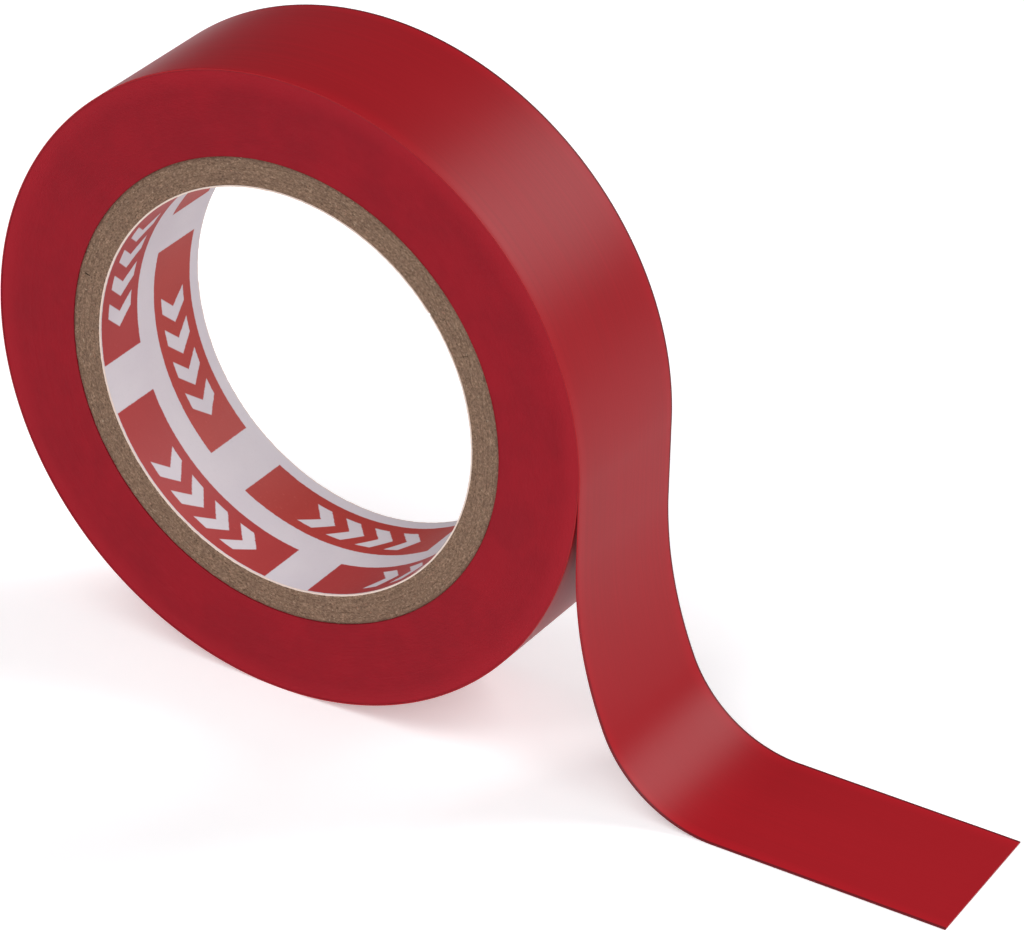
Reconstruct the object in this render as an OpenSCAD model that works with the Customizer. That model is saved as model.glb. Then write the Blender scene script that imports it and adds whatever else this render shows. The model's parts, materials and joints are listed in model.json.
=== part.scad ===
// Roll of electrical insulating tape, standing on its rim with a free tail on the surface.
// The origin is the middle of the bore. Y runs along the axis of the roll, X towards
// the end of the tail and Z up.
//
// The strip is one continuous band: the turns on the tube, the last turn, the stretch of
// it that peels off, and the tail. Where the band flexes it is cut into short links that
// fold on lines parallel to the axis.

/* [Tube] */
// Diameter of the bore
bore_d = 38; // [25:0.5:80]
// Thickness of the printed paper that lines the bore
liner_t = 0.15; // [0.08:0.01:0.4]
// Thickness of one chipboard ply of the tube
ply_t = 0.53; // [0.3:0.01:1]
// Width of the seam between the two edges of a ply
seam_w = 0.15; // [0.05:0.01:0.4]
// Lean of the seams away from the axis, in degrees
seam_lean = 50; // [0:1:55]

/* [Tape] */
// Width of the tape and of the tube
tape_w = 15; // [9:0.5:25]
// Thickness of the vinyl film
film_t = 0.10; // [0.08:0.01:0.2]
// Thickness of the adhesive coat
adhesive_t = 0.03; // [0.02:0.005:0.06]
// Number of turns on the tube
turns = 61; // [30:1:120]

/* [Last turn] */
// Arc of the last turn that peels off, in degrees back from the tail
peel_arc = 60; // [20:1:90]
// Gap at each fold line
fold_gap = 0.13; // [0.12:0.01:0.3]
// Clearance between the peeling stretch and the turn under it
bond_gap = 0.01; // [0.005:0.005:0.05]

/* [Tail] */
// Bend radius where the tail starts to leave the roll
upper_bend_r = 38; // [15:0.5:45]
// Turn of the upper bend, in degrees
upper_bend_turn = 24; // [10:1:35]
// Bend radius where the tail meets the surface
lower_bend_r = 12; // [6:0.5:18]
// Length that lies flat
flat_l = 21.9; // [10:0.5:60]
// How far the cut end is off square, in degrees
cut_skew = 3.4; // [-10:0.2:10]

/* [Hidden] */
PLIES = 5;
PEEL_LINKS = 4;
LOWER_BEND_LINKS = 2;
FLAT_LINKS = 2;
TAIL_LINKS = 2 + LOWER_BEND_LINKS + FLAT_LINKS;
$fn = 180;

PAPER = [0.80, 0.79, 0.78];
CHIPBOARD = [0.50, 0.43, 0.35];
TURN_EDGES = [0.52, 0.13, 0.17];
FILM = [0.60, 0.11, 0.13];
ADHESIVE = [0.42, 0.10, 0.12];

bore_r = bore_d / 2;
plies_r = bore_r + liner_t;
tube_r = plies_r + PLIES * ply_t;
// How far each seam is turned from the one under it
seam_step = 137.5;
// A cutter is wider than the tape and ends outside what it cuts. A seam's cutter starts
// at a share of the ply's radius, so that it reaches one side of the tube only.
cutter_w = 2 * tape_w;
cutter_over = 1;
cutter_start = 0.2;

tape_t = film_t + adhesive_t;
roll_r = tube_r + turns * tape_t;
// The outline grows by one tape thickness a turn. Two half circles draw it: their centres
// are a quarter of that step to each side of the axis, and they leave the step at +X,
// where the tail comes off.
centre_shift = tape_t / 4;
upper_r = roll_r - centre_shift;
lower_r = roll_r - 3 * centre_shift;
peel_r = upper_r + bond_gap;
floor_z = -lower_r;

// Half of a fold gap, as an angle on a bend of the given radius
function half_gap(r) = fold_gap / 2 / r * 180 / PI;

// The tail as links, each [bend radius, turn in degrees], or [0, length] where it is straight
lower_bend_turn = 90 - upper_bend_turn;
bends_drop = upper_bend_r * sin(upper_bend_turn) + lower_bend_r * (1 - cos(lower_bend_turn));
hang_l = -floor_z - tape_t / 2 - bends_drop;
tail = concat(
    [[0, hang_l], [upper_bend_r, upper_bend_turn]],
    [for (i = [1:LOWER_BEND_LINKS]) [lower_bend_r, lower_bend_turn / LOWER_BEND_LINKS]],
    [for (i = [1:FLAT_LINKS]) [0, flat_l / FLAT_LINKS]]
);

// Heading of the tail at the start of a link, and where that start is
function link_turn(link) = link[0] == 0 ? 0 : link[1];
function run(link, h) = link[0] == 0
    ? link[1] * [cos(h), sin(h)]
    : link[0] * [sin(h + link[1]) - sin(h), cos(h) - cos(h + link[1])];
function heading(i) = i == 0 ? -90 : heading(i - 1) + link_turn(tail[i - 1]);
function start(i) = i == 0
    ? [centre_shift + peel_r - tape_t / 2, 0]
    : start(i - 1) + run(tail[i - 1], heading(i - 1));

// The parts are drawn lying down, with the axis along Z, and stood on the rim here
module on_rim() rotate([90, 0, 0]) children();

// Ring or part of a ring between two radii
module band(inner_r, outer_r, from = 0, sweep = 360, width = tape_w)
    rotate([0, 0, from])
        rotate_extrude(angle = sweep)
            translate([inner_r, -width / 2]) square([outer_r - inner_r, width]);

// Disc with the step of the outline, a given depth under the outer face
module stepped_disc(depth, width = tape_w) {
    translate([centre_shift, 0, 0]) band(0, upper_r - depth, 0, 180, width);
    translate([-centre_shift, 0, 0]) band(0, lower_r - depth, 180, 180, width);
}

module core_liner()
    color(PAPER) on_rim() band(bore_r, plies_r);

module core_ply(i) {
    inner_r = plies_r + (i - 1) * ply_t;
    outer_r = inner_r + ply_t;
    color(CHIPBOARD) on_rim() difference() {
        band(inner_r, outer_r);
        rotate([0, 0, i * seam_step]) rotate([seam_lean, 0, 0])
            translate([cutter_start * inner_r, -seam_w / 2, -cutter_w])
                cube([outer_r + cutter_over - cutter_start * inner_r, seam_w, 2 * cutter_w]);
    }
}

module wound_turns()
    color(TURN_EDGES) on_rim() difference() {
        stepped_disc(tape_t);
        cylinder(r = tube_r, h = cutter_w, center = true);
    }

// One layer of the last turn between two depths under its outer face, without the
// stretch that peels off
module last_turn_layer(outer_depth, inner_depth) difference() {
    stepped_disc(outer_depth);
    stepped_disc(inner_depth, cutter_w);
    translate([centre_shift, 0, 0])
        band(0, roll_r + cutter_over, 0, peel_arc + half_gap(peel_r), cutter_w);
}

// One layer of a link of the peeling stretch
module peel_layer(i, outer_depth, inner_depth) {
    link_arc = peel_arc / PEEL_LINKS;
    gap = half_gap(peel_r);
    translate([centre_shift, 0, 0])
        band(peel_r - inner_depth, peel_r - outer_depth,
            peel_arc - i * link_arc + gap, link_arc - 2 * gap);
}

// One layer of a link of the tail, between two heights above its middle surface. The
// film's side is to the left of the heading, which is the inside of the bends.
module tail_layer(i, low, high) {
    r = tail[i - 1][0];
    size = tail[i - 1][1];
    first = start(i - 1);
    translate([first[0], first[1], 0]) rotate([0, 0, heading(i - 1)])
        if (r > 0) {
            gap = half_gap(r);
            translate([0, r, 0]) band(r - high, r - low, gap - 90, size - 2 * gap);
        } else if (i < TAIL_LINKS) {
            translate([fold_gap / 2, low, -tape_w / 2])
                cube([size - fold_gap, high - low, tape_w]);
        } else {
            skew = tape_w / 2 * tan(cut_skew);
            translate([0, high, 0]) rotate([90, 0, 0])
                linear_extrude(height = high - low)
                    polygon([
                        [fold_gap / 2, -tape_w / 2],
                        [size - skew, -tape_w / 2],
                        [size + skew, tape_w / 2],
                        [fold_gap / 2, tape_w / 2]
                    ]);
        }
}

module last_turn_film()
    color(FILM) on_rim() last_turn_layer(0, film_t);

module last_turn_adhesive()
    color(ADHESIVE) on_rim() last_turn_layer(film_t, tape_t);

module peel_link_film(i)
    color(FILM) on_rim() peel_layer(i, 0, film_t);

module peel_link_adhesive(i)
    color(ADHESIVE) on_rim() peel_layer(i, film_t, tape_t);

module tail_link_film(i)
    color(FILM) on_rim() tail_layer(i, tape_t / 2 - film_t, tape_t / 2);

module tail_link_adhesive(i)
    color(ADHESIVE) on_rim() tail_layer(i, -tape_t / 2, tape_t / 2 - film_t);

core_liner();
for (i = [1:PLIES])
    core_ply(i);
wound_turns();
last_turn_adhesive();
last_turn_film();
for (i = [1:PEEL_LINKS]) {
    peel_link_adhesive(i);
    peel_link_film(i);
}
for (i = [1:TAIL_LINKS]) {
    tail_link_adhesive(i);
    tail_link_film(i);
}
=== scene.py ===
# Roll of red vinyl electrical tape standing on its rim, with a free tail on the surface.
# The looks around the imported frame, in metres. Y is the axis of the roll and Z is up.
import json
import math

import bpy
from mathutils import Matrix, Vector


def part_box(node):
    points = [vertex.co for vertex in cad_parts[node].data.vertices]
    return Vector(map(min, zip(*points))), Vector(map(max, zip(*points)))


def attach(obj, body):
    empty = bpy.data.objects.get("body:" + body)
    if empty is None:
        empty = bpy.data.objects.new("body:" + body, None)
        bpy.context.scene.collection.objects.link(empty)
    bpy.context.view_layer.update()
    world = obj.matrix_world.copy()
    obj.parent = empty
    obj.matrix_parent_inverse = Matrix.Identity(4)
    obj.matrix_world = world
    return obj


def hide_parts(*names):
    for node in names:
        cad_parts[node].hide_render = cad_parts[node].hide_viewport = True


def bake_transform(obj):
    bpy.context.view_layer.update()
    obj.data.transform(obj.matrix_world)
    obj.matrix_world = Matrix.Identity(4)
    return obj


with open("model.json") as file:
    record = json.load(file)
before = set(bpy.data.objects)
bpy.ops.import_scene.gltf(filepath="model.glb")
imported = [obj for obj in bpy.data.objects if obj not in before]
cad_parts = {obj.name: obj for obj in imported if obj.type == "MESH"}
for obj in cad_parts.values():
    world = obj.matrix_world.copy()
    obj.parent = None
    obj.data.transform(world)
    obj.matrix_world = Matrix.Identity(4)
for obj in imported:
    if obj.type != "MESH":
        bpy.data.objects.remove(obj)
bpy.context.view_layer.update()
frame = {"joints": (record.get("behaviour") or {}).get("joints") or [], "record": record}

# ---------------------------------------------------------------- sizes, in metres

MM = 0.001
mounts = {mount["name"]: mount for mount in frame["record"]["mounts"]}
roll_low, roll_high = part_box("last_turn_film")

# Tube: printed paper inside five plies of board, each with a leaning seam
BORE_R = mounts["core_bore"]["dims"]["r_mm"] * MM
LINER_T = 0.15 * MM
PLY_T = 0.53 * MM
PLIES = 5
SEAM_W = 0.15 * MM
SEAM_LEAN = math.radians(50)
SEAM_STEP = math.radians(137.5)
LINER_SEAM = math.radians(40)
PLIES_R = BORE_R + LINER_T
TUBE_R = PLIES_R + PLIES * PLY_T

# Tape: a vinyl film on an adhesive coat
WIDTH = roll_high.y - roll_low.y
FILM_T = 0.10 * MM
ADHESIVE_T = 0.03 * MM
TAPE_T = FILM_T + ADHESIVE_T
BOND_GAP = 0.01 * MM

# Outline of the roll: two half circles that leave a step of one tape thickness at +X
UPPER_R = roll_high.z
LOWER_R = -roll_low.z
CENTRE_SHIFT = TAPE_T / 4
ROLL_R = UPPER_R + CENTRE_SHIFT
TURNS_UNDER = round((ROLL_R - TAPE_T - TUBE_R) / TAPE_T)
FLOOR_Z = -LOWER_R

# Tail: straight down, out on a wide bend, along on a tight one, then flat
UPPER_BEND_R = 38 * MM
UPPER_BEND_TURN = math.radians(24)
LOWER_BEND_R = 12 * MM
LOWER_BEND_TURN = math.radians(66)
FLAT_L = 21.9 * MM
CUT_SKEW = math.radians(3.4)

TURN = 2 * math.pi


# ---------------------------------------------------------------- node trees

class Wire:
    """One socket of a node tree. Arithmetic on it adds Math nodes to the tree."""

    def __init__(self, bench, socket):
        self.bench = bench
        self.socket = socket

    def math(self, operation, *others):
        values = dict(enumerate([self, *others]))
        return self.bench.add("ShaderNodeMath", {"operation": operation}, values)

    def __add__(self, other):
        return self.math("ADD", other)

    def __radd__(self, other):
        return self.math("ADD", other)

    def __sub__(self, other):
        return self.math("SUBTRACT", other)

    def __rsub__(self, other):
        return self.bench.number(other).math("SUBTRACT", self)

    def __mul__(self, other):
        return self.math("MULTIPLY", other)

    def __rmul__(self, other):
        return self.math("MULTIPLY", other)

    def __truediv__(self, other):
        return self.math("DIVIDE", other)

    def __neg__(self):
        return self.math("MULTIPLY", -1)

    def __abs__(self):
        return self.math("ABSOLUTE")


class Bench:
    """A node tree that is being filled."""

    def __init__(self, tree):
        self.tree = tree

    def add(self, kind, settings=None, values=None, output=0):
        """One node: its settings first, then the value or wire of each socket."""
        node = self.tree.nodes.new(kind)
        for name, setting in (settings or {}).items():
            if name == "stops":
                self.set_stops(node.color_ramp, setting)
            else:
                setattr(node, name, setting)
        for name, value in (values or {}).items():
            self.plug(node.inputs[name], value)
        return Wire(self, node.outputs[output])

    def set_stops(self, ramp, stops):
        """Stops of a colour ramp, each (place, colour)."""
        while len(ramp.elements) < len(stops):
            ramp.elements.new(1)
        for element, (place, colour) in zip(ramp.elements, stops):
            element.position = place
            element.color = colour

    def plug(self, socket, value):
        if isinstance(value, Wire):
            self.tree.links.new(value.socket, socket)
        else:
            socket.default_value = value

    def number(self, value):
        """A number that starts an expression, as a Wire."""
        if isinstance(value, Wire):
            return value
        return self.add("ShaderNodeMath", {"operation": "ADD"}, {0: value, 1: 0})

    def vector(self, x=0.0, y=0.0, z=0.0):
        return self.add("ShaderNodeCombineXYZ", values={0: x, 1: y, 2: z})

    def parts(self, vector):
        """The three numbers of a vector."""
        split = self.add("ShaderNodeSeparateXYZ", values={0: vector})
        return [Wire(self, output) for output in split.socket.node.outputs]

    def rise(self, value, low, high):
        """Smooth step from 0 at low to 1 at high."""
        settings = {"interpolation_type": "SMOOTHSTEP"}
        values = {"Value": value, "From Min": low, "From Max": high}
        return self.add("ShaderNodeMapRange", settings, values)

    def noise(self, vector, scale=1.0, detail=2.0, roughness=0.5):
        values = {"Vector": vector, "Scale": scale, "Detail": detail, "Roughness": roughness}
        return self.add("ShaderNodeTexNoise", None, values)

    def mix(self, share, first, second):
        """Colour that goes from the first to the second with the share."""
        values = {0: share, 6: first, 7: second}
        return self.add("ShaderNodeMix", {"data_type": "RGBA"}, values, 2)


# ---------------------------------------------------------------- shapes by rule

SOCKETS = {float: "NodeSocketFloat", int: "NodeSocketInt"}


class Former(Bench):
    """A Geometry Nodes tree with named inputs that ends in one mesh with one material."""

    def __init__(self, name, sizes, path=False):
        super().__init__(bpy.data.node_groups.new(name, "GeometryNodeTree"))
        face = self.tree.interface
        if path:
            face.new_socket("Path", in_out="INPUT", socket_type="NodeSocketObject")
        for size_name, kind in sizes.items():
            face.new_socket(size_name, in_out="INPUT", socket_type=SOCKETS[kind])
        face.new_socket("Material", in_out="INPUT", socket_type="NodeSocketMaterial")
        face.new_socket("Geometry", in_out="OUTPUT", socket_type="NodeSocketGeometry")
        self.entry = self.tree.nodes.new("NodeGroupInput")

    def size(self, name):
        return Wire(self, self.entry.outputs[name])

    def block(self, along, across, through):
        """A closed block of cells, and the shares 0 to 1 along, across and through it."""
        counts = {"Vertices X": along, "Vertices Y": across, "Vertices Z": through}
        mesh = self.add("GeometryNodeMeshCube", None, {"Size": (1, 1, 1), **counts}, "Mesh")
        place = self.add("GeometryNodeInputPosition")
        return mesh, [share + 0.5 for share in self.parts(place)]

    def moved(self, mesh, x, y, z):
        values = {"Geometry": mesh, "Position": self.vector(x, y, z)}
        return self.add("GeometryNodeSetPosition", None, values)

    def end(self, mesh):
        """Realizes the instances, sets the material and closes the tree."""
        plain = self.add("GeometryNodeRealizeInstances", None, {0: mesh})
        values = {"Geometry": plain, "Material": self.size("Material")}
        finished = self.add("GeometryNodeSetMaterial", None, values)
        out = self.tree.nodes.new("NodeGroupOutput")
        self.plug(out.inputs[0], finished)
        return self.tree


def form(name, tree, smooth_to=40, **inputs):
    """A piece made by a Geometry Nodes tree, as a plain mesh. Inputs use _ for a space."""
    piece = bpy.data.objects.new(name, bpy.data.meshes.new(name))
    bpy.context.scene.collection.objects.link(piece)
    modifier = piece.modifiers.new("form", "NODES")
    modifier.node_group = tree
    for item in tree.interface.items_tree:
        if item.in_out == "INPUT":
            modifier[item.identifier] = inputs[item.name.replace(" ", "_")]
    graph = bpy.context.evaluated_depsgraph_get()
    mesh = bpy.data.meshes.new_from_object(piece.evaluated_get(graph))
    piece.modifiers.remove(modifier)
    piece.data = mesh
    mesh.name = name
    mesh.shade_smooth()
    mesh.set_sharp_from_angle(angle=math.radians(smooth_to))
    return piece


def strip_tree():
    """A layer of the strip between two lengths along its path and two heights over it."""
    sizes = dict.fromkeys(["From", "To", "Low", "High", "Width", "Skew"], float)
    sizes.update({"Wave": float, "Wave From": float, "Rows": int, "Columns": int})
    bench = Former("tape_strip", sizes, path=True)
    end_cell = 0.02 * MM
    wave_along = 9 * MM
    wave_across = 14 * MM
    wave_growth = 12 * MM
    mesh, (along, across, through) = bench.block(bench.size("Rows"), bench.size("Columns"), 2)
    first = bench.size("From")
    length = bench.size("To") - first
    cells = bench.size("Rows") - 1
    inner = (along * cells - 1) / (cells - 2) * (length - 2 * end_cell) + end_cell
    run = inner.math("MAXIMUM", 0).math("MINIMUM", length)
    y = (across - 0.5) * bench.size("Width")
    run = run - run / length * y * bench.size("Skew").math("TANGENT")
    distance = first + run
    values = {"Geometry": mesh, "Name": "UVMap", "Value": bench.vector(distance, y, 0)}
    settings = {"data_type": "FLOAT2", "domain": "CORNER"}
    mapped = bench.add("GeometryNodeStoreNamedAttribute", settings, values)
    path = bench.add("GeometryNodeObjectInfo", None, {"Object": bench.size("Path")}, "Geometry")
    values = {"Curves": path, "Length": distance}
    point = bench.add("GeometryNodeSampleCurve", {"mode": "LENGTH"}, values, "Position")
    heading = Wire(bench, point.socket.node.outputs["Tangent"])
    heading_x, _, heading_z = bench.parts(heading)
    x, _, z = bench.parts(point)
    wave_place = bench.vector(distance / wave_along, y / wave_across, 0)
    wave = bench.noise(wave_place, detail=1.0) * bench.size("Wave")
    wave = wave * bench.rise(distance - bench.size("Wave From"), 0, wave_growth)
    height = bench.size("Low") + through * (bench.size("High") - bench.size("Low")) + wave
    return bench.end(bench.moved(mapped, x - heading_z * height, y, z + heading_x * height))


def spiral_tree():
    """Turns wound on the tube: a true spiral whose side faces show the edge of each turn."""
    sizes = dict.fromkeys(["Width", "Tape", "Tube Radius", "Upper Radius", "Lower Radius"], float)
    sizes.update(dict.fromkeys(["Centre Shift", "Ridge", "Stagger", "Dish"], float))
    sizes.update({"Turns": int, "Around": int, "Rows A Turn": int})
    bench = Former("spiral_turns", sizes)
    turns = bench.size("Turns")
    rows = turns * bench.size("Rows A Turn") + 1
    mesh, (around, side, inward) = bench.block(bench.size("Around"), 2, rows)
    depth = inward * turns
    touch = 0.001 * MM
    margin = 0.0001
    at_end = around.math("GREATER_THAN", 1 - margin)
    at_start = around.math("LESS_THAN", margin) * depth.math("GREATER_THAN", 1)
    values = {"Geometry": mesh, "Selection": at_end + at_start}
    opened = bench.add("GeometryNodeDeleteGeometry", {"domain": "FACE"}, values)
    angle = around * TURN
    upper = around.math("LESS_THAN", 0.5)
    shift = bench.size("Centre Shift") * (upper * 2 - 1)
    lower_r = bench.size("Lower Radius")
    half_r = lower_r + upper * (bench.size("Upper Radius") - lower_r)
    sideways = shift * angle.math("SINE")
    outline = shift * angle.math("COSINE") + (half_r * half_r - sideways * sideways).math("SQRT")
    free_r = outline - depth * bench.size("Tape")
    radius = free_r.math("MAXIMUM", bench.size("Tube Radius"))
    off_tube = free_r.math("GREATER_THAN", bench.size("Tube Radius") + touch)
    x = radius * angle.math("COSINE")
    z = radius * angle.math("SINE")
    groove = 1 - abs((depth * math.pi).math("SINE")).math("SQRT")
    nudge = 0.001
    turn_place = (depth + nudge).math("FLOOR") + around
    swings_a_turn = 3.7
    other_side = 500
    values = {"W": turn_place * swings_a_turn + side * other_side, "Scale": 1.0, "Detail": 1.0}
    stagger = bench.add("ShaderNodeTexNoise", {"noise_dimensions": "1D"}, values)
    dish = bench.noise(bench.vector(x, side, z), scale=1 / (13 * MM), detail=1.0)
    relief = groove * bench.size("Ridge") + stagger * bench.size("Stagger")
    relief = relief + dish * bench.size("Dish")
    y = (side - 0.5) * (bench.size("Width") - 2 * relief * off_tube)
    shaped = bench.moved(opened, x, y, z)
    values = {"Geometry": shaped, "Distance": touch}
    return bench.end(bench.add("GeometryNodeMergeByDistance", None, values))


def ring_tree():
    """A strip of board or paper bent into a ring, with a leaning seam and fibrous ends."""
    sizes = dict.fromkeys(["Inner Radius", "Outer Radius", "Width", "Seam Angle"], float)
    sizes.update(dict.fromkeys(["Seam Width", "Lean", "Rag", "Rag Length", "Edge Sink"], float))
    sizes.update({"Ripple": float, "Seed": float, "Around": int, "Across": int, "Layers": int})
    bench = Former("bent_ring", sizes)
    counts = [bench.size(name) for name in ("Around", "Across", "Layers")]
    mesh, (around, across, inward) = bench.block(*counts)
    inner_r = bench.size("Inner Radius")
    outer_r = bench.size("Outer Radius")
    width = bench.size("Width")
    gap = bench.size("Seam Width") / inner_r
    flat_y = (across - 0.5) * width
    near_seam = abs(around * 2 - 1).math("POWER", 8)
    lean = flat_y * bench.size("Lean").math("TANGENT") / inner_r * near_seam
    angle = bench.size("Seam Angle") + lean + gap / 2 + around * (TURN - gap)
    cosine = angle.math("COSINE")
    sine = angle.math("SINE")
    at_side = abs(across * 2 - 1).math("GREATER_THAN", 0.999)
    thin = outer_r - inward * (outer_r - inner_r)
    ripples = 6
    ripple_place = bench.vector(cosine * ripples, sine * ripples, flat_y / (5 * MM))
    ripple = bench.noise(ripple_place, detail=1.0) * bench.size("Ripple")
    radius = thin - ripple * inward
    reach = inner_r / bench.size("Rag Length")
    other_side = 40
    grain = thin / (0.22 * MM) + across * other_side + bench.size("Seed")
    place = bench.vector(cosine * reach, sine * reach, grain)
    torn = bench.noise(place, detail=3.0, roughness=0.6)
    border = abs(inward * 2 - 1).math("POWER", 4)
    sink = torn * bench.size("Rag") + border * bench.size("Edge Sink")
    y = flat_y - (across * 2 - 1) * sink * at_side
    return bench.end(bench.moved(mesh, radius * cosine, y, radius * sine))


def fibre_tree():
    """Loose paper fibres lying on a side face of the tube."""
    sizes = dict.fromkeys(["Inner Radius", "Outer Radius", "Face", "Length", "Thickness"], float)
    sizes.update({"Bow": float, "Density": float, "Seed": int})
    bench = Former("loose_fibres", sizes)
    values = {"Size X": 1.0, "Size Y": 1.0, "Vertices X": 180, "Vertices Y": 3}
    sheet = bench.add("GeometryNodeMeshGrid", None, values, "Mesh")
    share_x, share_y, _ = bench.parts(bench.add("GeometryNodeInputPosition"))
    angle = share_x * TURN
    inner_r = bench.size("Inner Radius")
    radius = inner_r + (share_y + 0.5) * (bench.size("Outer Radius") - inner_r)
    x = radius * angle.math("COSINE")
    z = radius * angle.math("SINE")
    face = bench.moved(sheet, x, bench.size("Face"), z)
    values = {"Mesh": face, "Density": bench.size("Density"), "Seed": bench.size("Seed")}
    points = bench.add("GeometryNodeDistributePointsOnFaces", None, values, "Points")
    bow = bench.vector(0, bench.size("Bow"), 0.12)
    values = {"Start": (-0.5, 0, 0), "Middle": bow, "End": (0.5, 0, -0.05), "Resolution": 5}
    spine = bench.add("GeometryNodeCurveQuadraticBezier", None, values)
    values = {"Resolution": 4, "Radius": bench.size("Thickness") / bench.size("Length") / 2}
    section = bench.add("GeometryNodeCurvePrimitiveCircle", None, values)
    values = {"Curve": spine, "Profile Curve": section, "Fill Caps": True}
    fibre = bench.add("GeometryNodeCurveToMesh", None, values)
    place_x, _, place_z = bench.parts(bench.add("GeometryNodeInputPosition"))
    settings = {"data_type": "FLOAT"}
    most_swing = 0.9
    values = {"Min": -most_swing, "Max": most_swing, "Seed": bench.size("Seed")}
    swing = bench.add("FunctionNodeRandomValue", settings, values, 1)
    round_the_axis = -place_z.math("ARCTAN2", place_x) - TURN / 4 + swing
    values = {"Min": 0.5, "Max": 1.6, "Seed": bench.size("Seed") + 1}
    stretch = bench.add("FunctionNodeRandomValue", settings, values, 1) * bench.size("Length")
    values = {"Points": points, "Instance": fibre, "Rotation": bench.vector(0, round_the_axis, 0)}
    values["Scale"] = bench.vector(stretch, stretch, stretch)
    return bench.end(bench.add("GeometryNodeInstanceOnPoints", None, values))


# ---------------------------------------------------------------- finishes
# Lengths in a finish are in millimetres, apart from the depth of its bump.

def paint(red, green, blue):
    """A colour given in screen levels, 0 to 255, as the light it stands for."""
    levels = [level / 255 for level in (red, green, blue)]
    light = [v / 12.92 if v <= 0.04045 else ((v + 0.055) / 1.055) ** 2.4 for v in levels]
    return (*light, 1)


class Finish(Bench):
    """A material with one Principled shader."""

    def __init__(self, name, **constants):
        self.material = bpy.data.materials.new(name)
        self.material.use_nodes = True
        super().__init__(self.material.node_tree)
        self.shader = self.tree.nodes["Principled BSDF"]
        for socket_name, value in constants.items():
            self.shader.inputs[socket_name.replace("_", " ")].default_value = value

    def place(self):
        """Place on the object in millimetres: x, y, z."""
        spot = self.add("ShaderNodeTexCoord", output="Object")
        return [part / MM for part in self.parts(spot)]

    def ring_place(self):
        """Cosine and sine of the angle round the axis, the radius and y, in millimetres."""
        x, y, z = self.place()
        radius = (x * x + z * z).math("SQRT")
        return x / radius, z / radius, radius, y

    def bump(self, height, distance):
        values = {"Strength": 1.0, "Distance": distance, "Height": height}
        return self.add("ShaderNodeBump", None, values)

    def dress(self, colour, roughness, normal):
        self.plug(self.shader.inputs["Base Color"], colour)
        self.plug(self.shader.inputs["Roughness"], roughness)
        self.plug(self.shader.inputs["Normal"], normal)
        return self.material


# Half the width of the tape and the length of strip on the roll, in millimetres
HALF_WIDTH = WIDTH / 2 / MM
TAIL_FROM = math.pi * (UPPER_R + LOWER_R - TAPE_T) / MM
FILM_RED = paint(150, 22, 30)
# Brighter red for the fine lines, and the painted highlight near the long edges
FILM_BRIGHT = paint(172, 22, 33)
# Painted shade for the dark line at the film's edge
FILM_EDGE_SHADE = paint(88, 22, 28)
# Painted light for the free tail
FILM_LIT = paint(170, 24, 33)
# Radii between which painted light makes the side faces brighter, in millimetres
BRIGHT_FROM = 27.4
BRIGHT_TO = 29.6


def vinyl_film():
    """Red film with fine lines along it, a painted highlight near its long edges, a painted shade
    line at the edge and painted light on the free tail.
    """
    finish = Finish("red_vinyl_film", IOR=1.5, Specular_IOR_Level=0.12)
    spot = finish.add("ShaderNodeUVMap", {"uv_map": "UVMap"})
    along, across, _ = [part / MM for part in finish.parts(spot)]
    from_edge = HALF_WIDTH - abs(across)
    cloud = finish.noise(finish.vector(along / 16, across / 9, 0), detail=3.0)
    lines = finish.noise(finish.vector(along / 30, across / 0.11, 7), detail=2.0)
    grain = finish.noise(finish.vector(along / 0.09, across / 0.07, 3), detail=2.0)
    body = finish.mix(cloud, paint(142, 21, 28), paint(151, 23, 31))
    body = finish.mix(finish.rise(lines, 0.35, 0.75) * 0.35, body, FILM_BRIGHT)
    # Painted highlight: brighter near the long edges, more on the free tail.
    margin = 1 - finish.rise(from_edge + (cloud - 0.5) * 1.2, 0.3, 1.5)
    free = finish.rise(along, TAIL_FROM, TAIL_FROM + 30)
    body = finish.mix(margin * (0.35 + free * 0.4), body, FILM_BRIGHT)
    # Painted light: the free tail is made brighter.
    body = finish.mix(free * 0.45, body, FILM_LIT)
    # Painted shade: a dark line at the back edge, and at both edges of the free tail.
    back = across.math("GREATER_THAN", 0)
    edge = 1 - finish.rise(from_edge, 0.12, 0.26)
    body = finish.mix(edge * free.math("MAXIMUM", back) * 0.88, body, FILM_EDGE_SHADE)
    worn = 1 - finish.rise(from_edge, 0.1, 0.5)
    roughness = 0.34 + cloud * 0.06 + grain * 0.05 + worn * 0.1
    height = grain * 0.35 + lines * 0.65
    return finish.dress(body, roughness, finish.bump(height, 0.0035 * MM))


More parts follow.
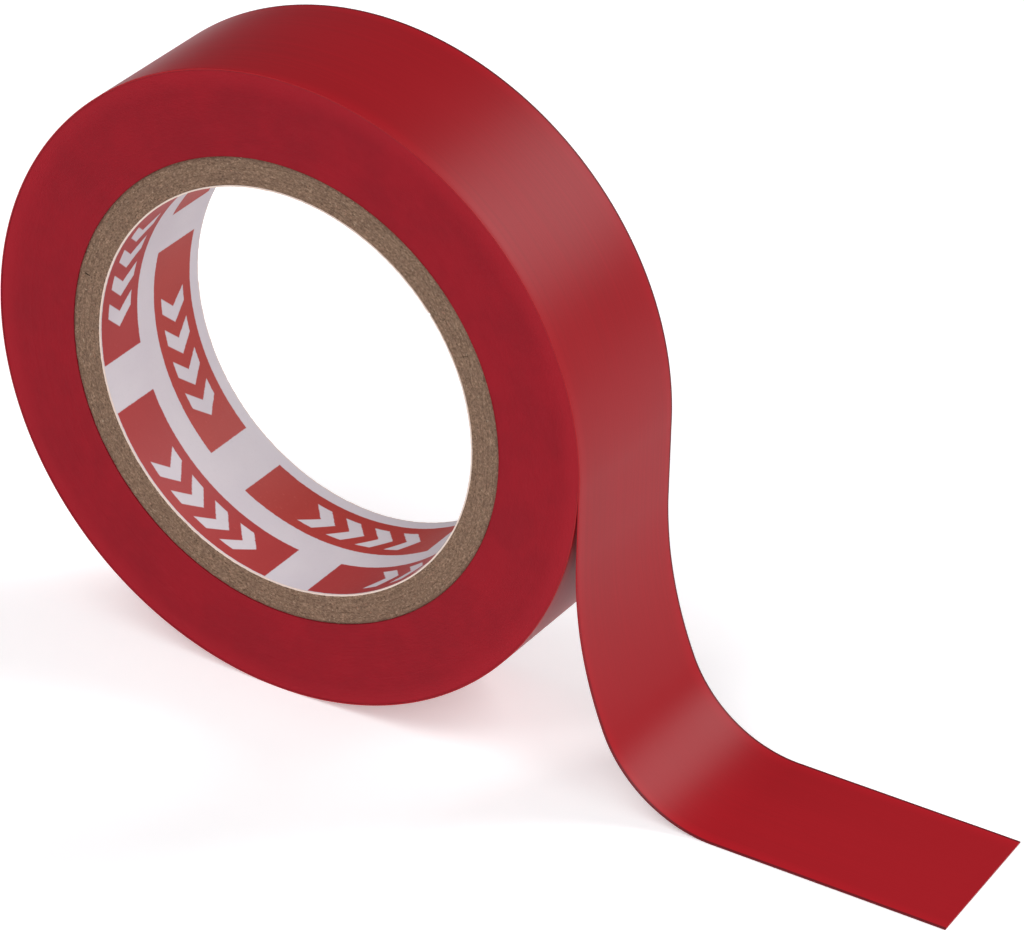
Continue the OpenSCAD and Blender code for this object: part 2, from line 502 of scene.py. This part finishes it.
def turn_edges():
    """Side faces of the turns, matt from the slitting, with painted light on their outer turns
    and plain film round the outside.
    """
    finish = Finish("turn_edges", IOR=1.5, Specular_IOR_Level=0.10)
    cosine, sine, radius, y = finish.ring_place()
    blot_place = finish.vector(cosine * radius / 5, y, sine * radius / 5)
    blots = finish.noise(blot_place, detail=4.0, roughness=0.6)
    smears = finish.noise(finish.vector(cosine * 9, sine * 9, radius / 0.8), detail=3.0)
    rings = finish.noise(finish.vector(cosine * 3, sine * 3, radius / 0.07), detail=2.0)
    grit_place = finish.vector(cosine * radius / 0.12, y, sine * radius / 0.12)
    grit = finish.noise(grit_place, detail=2.0)
    body = finish.mix(finish.rise(blots, 0.3, 0.7), paint(134, 18, 31), paint(143, 20, 33))
    body = finish.mix(finish.rise(smears, 0.45, 0.8) * 0.3, body, paint(145, 22, 36))
    body = finish.mix(finish.rise(rings, 0.5, 0.8) * 0.15, body, paint(116, 14, 26))
    # Painted light: the side faces turn brighter towards the outside of the roll.
    outer = finish.rise(radius, BRIGHT_FROM, BRIGHT_TO)
    body = finish.mix(outer * 0.5, body, paint(160, 28, 40))
    on_side = finish.rise(abs(y), HALF_WIDTH - 0.2, HALF_WIDTH - 0.12)
    body = finish.mix(on_side, FILM_RED, body)
    roughness = 0.36 + on_side * (0.2 + blots * 0.12)
    height = (rings * 0.5 + grit * 0.5) * on_side + grit * 0.2
    return finish.dress(body, roughness, finish.bump(height, 0.006 * MM))


def adhesive_coat():
    """Rubber adhesive: darker than the film, tacky, faintly streaked along the strip."""
    finish = Finish("adhesive_coat", IOR=1.5, Specular_IOR_Level=0.2)
    spot = finish.add("ShaderNodeUVMap", {"uv_map": "UVMap"})
    along, across, _ = [part / MM for part in finish.parts(spot)]
    streaks = finish.noise(finish.vector(along / 6, across / 0.3, 1), detail=3.0)
    dimples = finish.noise(finish.vector(along / 0.35, across / 0.35, 2), detail=2.0)
    body = finish.mix(streaks, paint(112, 24, 32), paint(134, 30, 40))
    roughness = 0.42 + dimples * 0.2
    return finish.dress(body, roughness, finish.bump(streaks * 0.4 + dimples * 0.6, 0.008 * MM))


def chipboard():
    """Grey-brown board: fibres lie round the tube, with dark pits and pale or rusty flecks."""
    finish = Finish("chipboard", IOR=1.45, Specular_IOR_Level=0.2)
    cosine, sine, radius, y = finish.ring_place()
    layer = radius + y * 0.7
    fibre_place = finish.vector(cosine * 80, sine * 80, layer / 0.15)
    long_fibres = finish.noise(fibre_place, detail=4.0, roughness=0.7)
    clumps = finish.noise(finish.vector(cosine * 24, sine * 24, layer / 0.8), detail=3.0)
    specks = finish.noise(finish.vector(cosine * 110, sine * 110, layer / 0.15), detail=2.0)
    flecks = finish.noise(finish.vector(cosine * 70 + 50, sine * 70, layer / 0.13), detail=2.0)
    tints = finish.noise(finish.vector(cosine * 40 + 90, sine * 40, layer / 0.4), detail=1.0)
    stops = [
        (0.3, paint(80, 60, 47)),
        (0.45, paint(114, 90, 73)),
        (0.56, paint(137, 110, 91)),
        (0.72, paint(166, 138, 117)),
    ]
    body = finish.add("ShaderNodeValToRGB", {"stops": stops}, {"Fac": long_fibres})
    body = finish.mix(finish.rise(clumps, 0.35, 0.7) * 0.35, body, paint(105, 82, 69))
    body = finish.mix(finish.rise(specks, 0.6, 0.7) * 0.6, body, paint(62, 46, 38))
    pale = paint(186, 166, 144)
    rusty = paint(168, 118, 98)
    fleck_colour = finish.mix(finish.rise(tints, 0.4, 0.6), pale, rusty)
    body = finish.mix(finish.rise(flecks, 0.62, 0.72) * 0.5, body, fleck_colour)
    under_tape = finish.rise(radius, TUBE_R / MM - 0.4, TUBE_R / MM)
    body = finish.mix(under_tape * 0.35, body, paint(72, 42, 38))
    roughness = 0.8 + long_fibres * 0.15
    height = long_fibres * 0.6 + clumps * 0.4
    return finish.dress(body, roughness, finish.bump(height, 0.05 * MM))


def paper_fibre():
    """Loose fibres torn out of the board, dull or paler than it."""
    finish = Finish("paper_fibre", IOR=1.45, Specular_IOR_Level=0.2)
    x, y, z = finish.place()
    spots = finish.noise(finish.vector(x / 0.9, y, z / 0.9), detail=1.0)
    dull = paint(118, 94, 77)
    pale = paint(158, 134, 112)
    body = finish.mix(finish.rise(spots, 0.35, 0.65), dull, pale)
    roughness = 0.75 + spots * 0.2
    return finish.dress(body, roughness, finish.bump(spots, 0.01 * MM))


# Red blocks round the bore, in degrees round it and millimetres across it. Each row has
# the middle and half the height of its blocks, and how far it is turned from the first row.
PRINT_PERIOD = 74.0
PRINT_LENGTH = 60.7
PRINT_FIRST = 166.5
PRINT_ROWS = ((3.37, 2.75, 0.0), (-4.55, 2.68, 37.2))
INK_SOFTNESS = 0.05
INK_SOFT_TURN = 0.15
# Chevrons on each block: where they start, one to the next, how many, how far their arms
# lean back for a millimetre across, and half their height
MOTIF_FROM = 20.0
MOTIF_STEP = 9.2
MOTIF_COUNT = 4
MOTIF_SLANT = 2.6
MOTIF_HALF = 1.65


def printed_row(finish, angle, y, centre, half_height, offset):
    """Ink of one row of blocks round the bore, less the white chevrons on each block."""
    phase = (angle - (PRINT_FIRST + offset)) / PRINT_PERIOD
    along = (phase - phase.math("FLOOR")) * PRINT_PERIOD
    off_centre = abs(y - centre)
    within = 1 - finish.rise(off_centre, half_height - INK_SOFTNESS, half_height + INK_SOFTNESS)
    begun = finish.rise(along, 0, 2 * INK_SOFT_TURN)
    over = finish.rise(along, PRINT_LENGTH - INK_SOFT_TURN, PRINT_LENGTH + INK_SOFT_TURN)
    block = within * begun * (1 - over)
    slant = (along - MOTIF_FROM + off_centre * MOTIF_SLANT) / MOTIF_STEP
    tooth = slant - slant.math("FLOOR")
    bar = finish.rise(tooth, 0, 0.05) * (1 - finish.rise(tooth, 0.5, 0.55))
    start = slant.math("GREATER_THAN", 0)
    stop = slant.math("LESS_THAN", MOTIF_COUNT)
    inside = 1 - finish.rise(off_centre, MOTIF_HALF - INK_SOFTNESS, MOTIF_HALF + INK_SOFTNESS)
    return block * (1 - bar * start * stop * inside)


def printed_paper():
    """White liner paper with two staggered rows of red blocks."""
    finish = Finish("printed_paper", IOR=1.45, Specular_IOR_Level=0.3)
    cosine, sine, _, y = finish.ring_place()
    fibre_place = finish.vector(cosine * 60, sine * 60, y / 0.25)
    fibres = finish.noise(fibre_place, detail=4.0, roughness=0.6)
    clouds = finish.noise(finish.vector(cosine * 4, sine * 4, y / 5), detail=2.0)
    ragged = (fibres - 0.5) * 0.12
    seam = math.degrees(LINER_SEAM)
    turned = sine.math("ARCTAN2", cosine) * (180 / math.pi) - seam
    angle = turned + turned.math("LESS_THAN", 0) * 360 + seam
    ink = finish.number(0)
    for centre, half_height, offset in PRINT_ROWS:
        row = printed_row(finish, angle + ragged * 3, y + ragged, centre, half_height, offset)
        ink = ink.math("MAXIMUM", row)
    paper = finish.mix(clouds, paint(195, 188, 195), paint(207, 201, 204))
    paper = finish.mix(finish.rise(fibres, 0.55, 0.8) * 0.3, paper, paint(186, 178, 184))
    rim = finish.rise(abs(y) + ragged, HALF_WIDTH - 0.22, HALF_WIDTH - 0.12)
    paper = finish.mix(rim, paper, paint(220, 200, 188))
    red = finish.mix(clouds, paint(157, 38, 28), paint(168, 45, 34))
    red = finish.mix(finish.rise(fibres, 0.55, 0.8) * 0.35, red, paint(190, 84, 72))
    # Painted shade: the front row's reds are darker and more crimson.
    front_row = y.math("LESS_THAN", -1)
    red = finish.mix(front_row * 0.35, red, paint(150, 28, 42))
    body = finish.mix(ink * 0.97, paper, red)
    roughness = 0.55 + fibres * 0.2 - ink * 0.08
    return finish.dress(body, roughness, finish.bump(fibres, 0.012 * MM))


def white_table():
    """Plain pale surface under the roll, which glows a little, with painted shade that greys it
    far away.
    """
    finish = Finish("white_table", Specular_IOR_Level=0.0, Emission_Strength=0.3)
    x, y, z = finish.place()
    grain = finish.noise(finish.vector(x / 2, y / 2, z), detail=2.0)
    body = finish.mix(grain, paint(246, 246, 247), paint(250, 250, 250))
    # Painted shade: the table turns grey and stops glowing far from the roll.
    far = finish.rise((x * x + y * y).math("SQRT"), 190, 420)
    body = finish.mix(far, body, paint(196, 196, 198))
    glow = finish.mix(far, (1, 1, 1, 1), (0, 0, 0, 1))
    finish.plug(finish.shader.inputs["Emission Color"], glow)
    return finish.dress(body, 0.9 + grain * 0.1, finish.bump(grain, 0.005 * MM))


# ---------------------------------------------------------------- the route of the strip

# Longest step between points of an arc
ROUTE_STEP = 0.1 * MM
# The route goes on past the cut end, because the cut is askew
SPARE_END = 1.0 * MM
# Turn over which the strip rises from the roll to the bond gap
CREEP = math.radians(7.5)


def arc_points(centre, radius, start, sweep):
    """Points on an arc in the XZ plane, without the last one."""
    count = math.ceil(abs(sweep) * radius / ROUTE_STEP)
    for i in range(count):
        angle = start + sweep * i / count
        yield centre + Vector((math.cos(angle), 0, math.sin(angle))) * radius


def bond_lift(point, peel_from):
    """The peeling stretch stands off the turn under it by the bond gap, and creeps up to it."""
    angle = math.atan2(point.z, point.x)
    share = min(max((peel_from + CREEP - angle) / CREEP, 0), 1)
    return point.normalized() * BOND_GAP * share * share * (3 - 2 * share)


def strip_route(peel_from):
    """Middle surface of the strip: once round the roll from the step at +X, then the tail."""
    shift = Vector((CENTRE_SHIFT, 0, 0))
    half = TAPE_T / 2
    points = list(arc_points(-shift, LOWER_R - half, 0, -math.pi))
    for point in arc_points(shift, UPPER_R - half, math.pi, -math.pi):
        points.append(point + bond_lift(point, peel_from))
    spot = Vector((CENTRE_SHIFT + UPPER_R + BOND_GAP - half, 0, 0))
    points.append(spot)
    drop = UPPER_BEND_R * math.sin(UPPER_BEND_TURN)
    drop += LOWER_BEND_R * (1 - math.cos(LOWER_BEND_TURN))
    spot = Vector((spot.x, 0, FLOOR_Z + half + drop))
    for radius, turn, heading in (
        (UPPER_BEND_R, UPPER_BEND_TURN, -math.pi / 2),
        (LOWER_BEND_R, LOWER_BEND_TURN, -LOWER_BEND_TURN),
    ):
        centre = spot + Vector((-math.sin(heading), 0, math.cos(heading))) * radius
        points.extend(arc_points(centre, radius, heading - math.pi / 2, turn))
        end = heading - math.pi / 2 + turn
        spot = centre + Vector((math.cos(end), 0, math.sin(end))) * radius
    points.append(spot)
    points.append(spot + Vector((FLAT_L + SPARE_END, 0, 0)))
    return points


def route_lengths(points):
    """Distance along the route at each of its points."""
    lengths = [0.0]
    for before, after in zip(points, points[1:]):
        lengths.append(lengths[-1] + (after - before).length)
    return lengths


def length_near(points, lengths, spot):
    """Distance along the route at the place nearest to a spot."""
    best = (1.0, 0.0)
    for i in range(1, len(points)):
        step = points[i] - points[i - 1]
        share = min(max((spot - points[i - 1]).dot(step) / step.length_squared, 0), 1)
        miss = (points[i - 1] + step * share - spot).length
        best = min(best, (miss, lengths[i - 1] + step.length * share))
    return best[1]


def point_at(points, lengths, distance):
    """Place on the route at a distance along it."""
    i = next(i for i, length in enumerate(lengths) if length >= distance and i > 0)
    share = (distance - lengths[i - 1]) / (lengths[i] - lengths[i - 1])
    return points[i - 1].lerp(points[i], share)


def route_curve(points):
    """The route as a curve object, for the tree to follow."""
    data = bpy.data.curves.new("strip_route", "CURVE")
    data.dimensions = "3D"
    line = data.splines.new("POLY")
    line.points.add(len(points) - 1)
    for slot, point in zip(line.points, points):
        slot.co = (*point, 1)
    curve = bpy.data.objects.new("strip_route", data)
    bpy.context.scene.collection.objects.link(curve)
    return curve


# ---------------------------------------------------------------- pieces

# Length of a cell along the strip, and the height of its waves where it is free
CELL = 0.25 * MM
WAVE = 0.05 * MM
# Loose fibres keep off the two edges of a side face, and lie a little under it
FIBRE_MARGIN = 0.15 * MM
FIBRE_SINK = 0.06 * MM
FIBRE_BOW = 0.06
# Share of the half links beside a fold up to which the route is sampled: less of what lies on
# something
BEND_SHARE = 0.85
LYING_SHARE = 0.25
# Each layer's heights over the middle of the tape, and its material slot
LAYERS = {
    "film": (TAPE_T / 2 - FILM_T, TAPE_T / 2, "vinyl_film"),
    "adhesive": (-TAPE_T / 2, TAPE_T / 2 - FILM_T, "adhesive"),
}


def make_tube():
    """Five plies of board, the printed liner, and the fibres that stand out of the board."""
    tree = ring_tree()
    board = chipboard()
    for i in range(1, PLIES + 1):
        inner_r = PLIES_R + (i - 1) * PLY_T
        ply = form(
            f"tube_ply_{i}", tree, Inner_Radius=inner_r, Outer_Radius=inner_r + PLY_T,
            Width=WIDTH, Seam_Angle=i * SEAM_STEP, Seam_Width=SEAM_W, Lean=SEAM_LEAN,
            Rag=0.14 * MM, Rag_Length=1.1 * MM, Edge_Sink=0.05 * MM, Ripple=0.0,
            Seed=i * 17.0, Around=720, Across=13, Layers=6, Material=board,
        )
        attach(ply, "roll")
        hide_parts(f"core_ply_{i}")
    liner = form(
        "bore_liner", tree, Inner_Radius=BORE_R, Outer_Radius=PLIES_R, Width=WIDTH,
        Seam_Angle=LINER_SEAM, Seam_Width=SEAM_W, Lean=0.0, Rag=0.18 * MM,
        Rag_Length=0.5 * MM, Edge_Sink=0.0, Ripple=-0.03 * MM, Seed=3.0,
        Around=1200, Across=16, Layers=3, Material=printed_paper(),
    )
    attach(liner, "roll")
    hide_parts("core_liner")
    tree = fibre_tree()
    fibre = paper_fibre()
    for side, outward in (("front", -1), ("back", 1)):
        fibres = form(
            f"tube_fibres_{side}", tree, Inner_Radius=PLIES_R + FIBRE_MARGIN,
            Outer_Radius=TUBE_R - FIBRE_MARGIN, Face=outward * (WIDTH / 2 - FIBRE_SINK),
            Length=0.36 * MM, Thickness=0.022 * MM, Bow=outward * FIBRE_BOW,
            Density=3.0e6, Seed=11, Material=fibre,
        )
        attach(fibres, "roll")


def make_wound_turns():
    """The turns under the last one, as one spiral."""
    turns = form(
        "wound_turns_spiral", spiral_tree(), smooth_to=60, Width=WIDTH, Tape=TAPE_T,
        Tube_Radius=TUBE_R, Upper_Radius=UPPER_R - TAPE_T, Lower_Radius=LOWER_R - TAPE_T,
        Centre_Shift=CENTRE_SHIFT, Ridge=0.014 * MM, Stagger=0.018 * MM, Dish=0.06 * MM,
        Turns=TURNS_UNDER, Around=200, Rows_A_Turn=4, Material=turn_edges(),
    )
    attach(turns, "roll")
    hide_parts("wound_turns")


def make_strip():
    """The last turn and the tail as one strip of film on one coat of adhesive."""
    folds = frame["joints"]
    first_fold = Vector(folds[0]["pos_m"])
    peel_from = math.atan2(first_fold.z, first_fold.x - CENTRE_SHIFT)
    points = strip_route(peel_from)
    lengths = route_lengths(points)
    curve = route_curve(points)
    tree = strip_tree()
    finishes = {"film": vinyl_film(), "adhesive": adhesive_coat()}
    at = [length_near(points, lengths, Vector(joint["pos_m"])) for joint in folds]
    cut = lengths[-1] - SPARE_END
    middles = [(before + after) / 2 for before, after in zip(at, at[1:])]
    ends = [at[0] - (at[1] - at[0]) / 2, *middles, cut]
    tail_start = at[next(i for i, joint in enumerate(folds) if joint["name"] == "tail_fold_1")]

    def lay(name, layer, first, last, skew):
        low, high, slot = LAYERS[layer]
        piece = form(
            name, tree, Path=curve, From=first, To=last, Low=low, High=high, Width=WIDTH,
            Skew=skew, Wave=WAVE, Wave_From=tail_start, Rows=round((last - first) / CELL) + 1,
            Columns=13, Material=finishes[layer],
        )
        return piece

    for layer in LAYERS:
        wound = lay(f"last_turn_wound_{layer}", layer, 0.0, ends[0], 0.0)
        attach(wound, "roll")
        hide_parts(f"last_turn_{layer}")
        for i, joint in enumerate(folds):
            skew = CUT_SKEW if joint is folds[-1] else 0.0
            bend = lay(f"{joint['child']}_bend_{layer}", layer, ends[i], ends[i + 1], skew)
            reach = min(at[i] - ends[i], ends[i + 1] - at[i])
            lies = at[i] <= tail_start or joint["pos_m"][2] < FLOOR_Z + TAPE_T
            before = reach * (LYING_SHARE if lies else BEND_SHARE)
            point_at(points, lengths, at[i] - before)
            point_at(points, lengths, at[i] + reach * BEND_SHARE)
            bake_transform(bend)
            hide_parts(f"{joint['child']}_{layer}")
    bpy.data.objects.remove(curve)


# ---------------------------------------------------------------- stage, lights and camera

TABLE_R = 2.5


def make_stage():
    """A wide white table and a dim surround."""
    bpy.ops.mesh.primitive_circle_add(vertices=96, radius=TABLE_R, fill_type="NGON")
    table = bpy.context.object
    table.name = "table"
    table.data.transform(Matrix.Translation((0, 0, FLOOR_Z)))
    table.data.materials.append(white_table())
    world = bpy.data.worlds.new("studio")
    world.use_nodes = True
    bpy.context.scene.world = world
    background = world.node_tree.nodes["Background"]
    background.inputs["Color"].default_value = (0.9, 0.93, 1.0, 1)
    background.inputs["Strength"].default_value = 0.17


def softbox(name, direction, distance, size, power):
    """An area light that faces the roll from a direction."""
    data = bpy.data.lights.new(name, "AREA")
    data.shape = "RECTANGLE"
    data.size, data.size_y = size
    data.energy = power
    lamp = bpy.data.objects.new(name, data)
    bpy.context.scene.collection.objects.link(lamp)
    toward = Vector(direction).normalized()
    lamp.location = toward * distance
    lamp.rotation_euler = toward.to_track_quat("Z", "Y").to_euler()


def make_lights():
    """A window behind on the right, and softer light from above, the front and the right."""
    softbox("window_back_right", (0.46, 0.74, 0.53), 1.1, (0.45, 0.76), 7.9)
    softbox("key_overhead", (-0.35, -0.5, 0.9), 1.3, (1.2, 1.2), 10)
    softbox("fill_front", (0.4, -0.9, 0.35), 1.3, (1.0, 1.0), 6.5)
    softbox("glow_right", (0.93, -0.12, 0.35), 0.34, (0.16, 0.16), 0.11)


def make_camera():
    """A long lens, high to the front and turned a little to the right."""
    azimuth = math.radians(31.24)
    elevation = math.radians(30.17)
    roll = math.radians(1.65)
    field = math.radians(10)
    distance = 503.97 * MM
    right_by = 15.62 * MM
    up_by = -9.16 * MM
    back = Vector((
        math.sin(azimuth) * math.cos(elevation),
        -math.cos(azimuth) * math.cos(elevation),
        math.sin(elevation),
    ))
    level = (-back).cross(Vector((0, 0, 1))).normalized()
    upright = level.cross(-back)
    right = level * math.cos(roll) + upright * math.sin(roll)
    up = upright * math.cos(roll) - level * math.sin(roll)
    data = bpy.data.cameras.new("camera")
    data.sensor_fit = "HORIZONTAL"
    data.sensor_width = 36
    data.lens = data.sensor_width / 2 / math.tan(field / 2)
    data.clip_start = 0.01
    camera = bpy.data.objects.new("camera", data)
    bpy.context.scene.collection.objects.link(camera)
    turned = Matrix((right, up, back)).transposed().to_4x4()
    place = back * distance + right * right_by + up * up_by
    camera.matrix_world = Matrix.Translation(place) @ turned
    bpy.context.scene.camera = camera


make_tube()
make_wound_turns()
make_strip()
make_stage()
make_lights()
make_camera()
bpy.context.scene.view_settings.view_transform = "Standard"
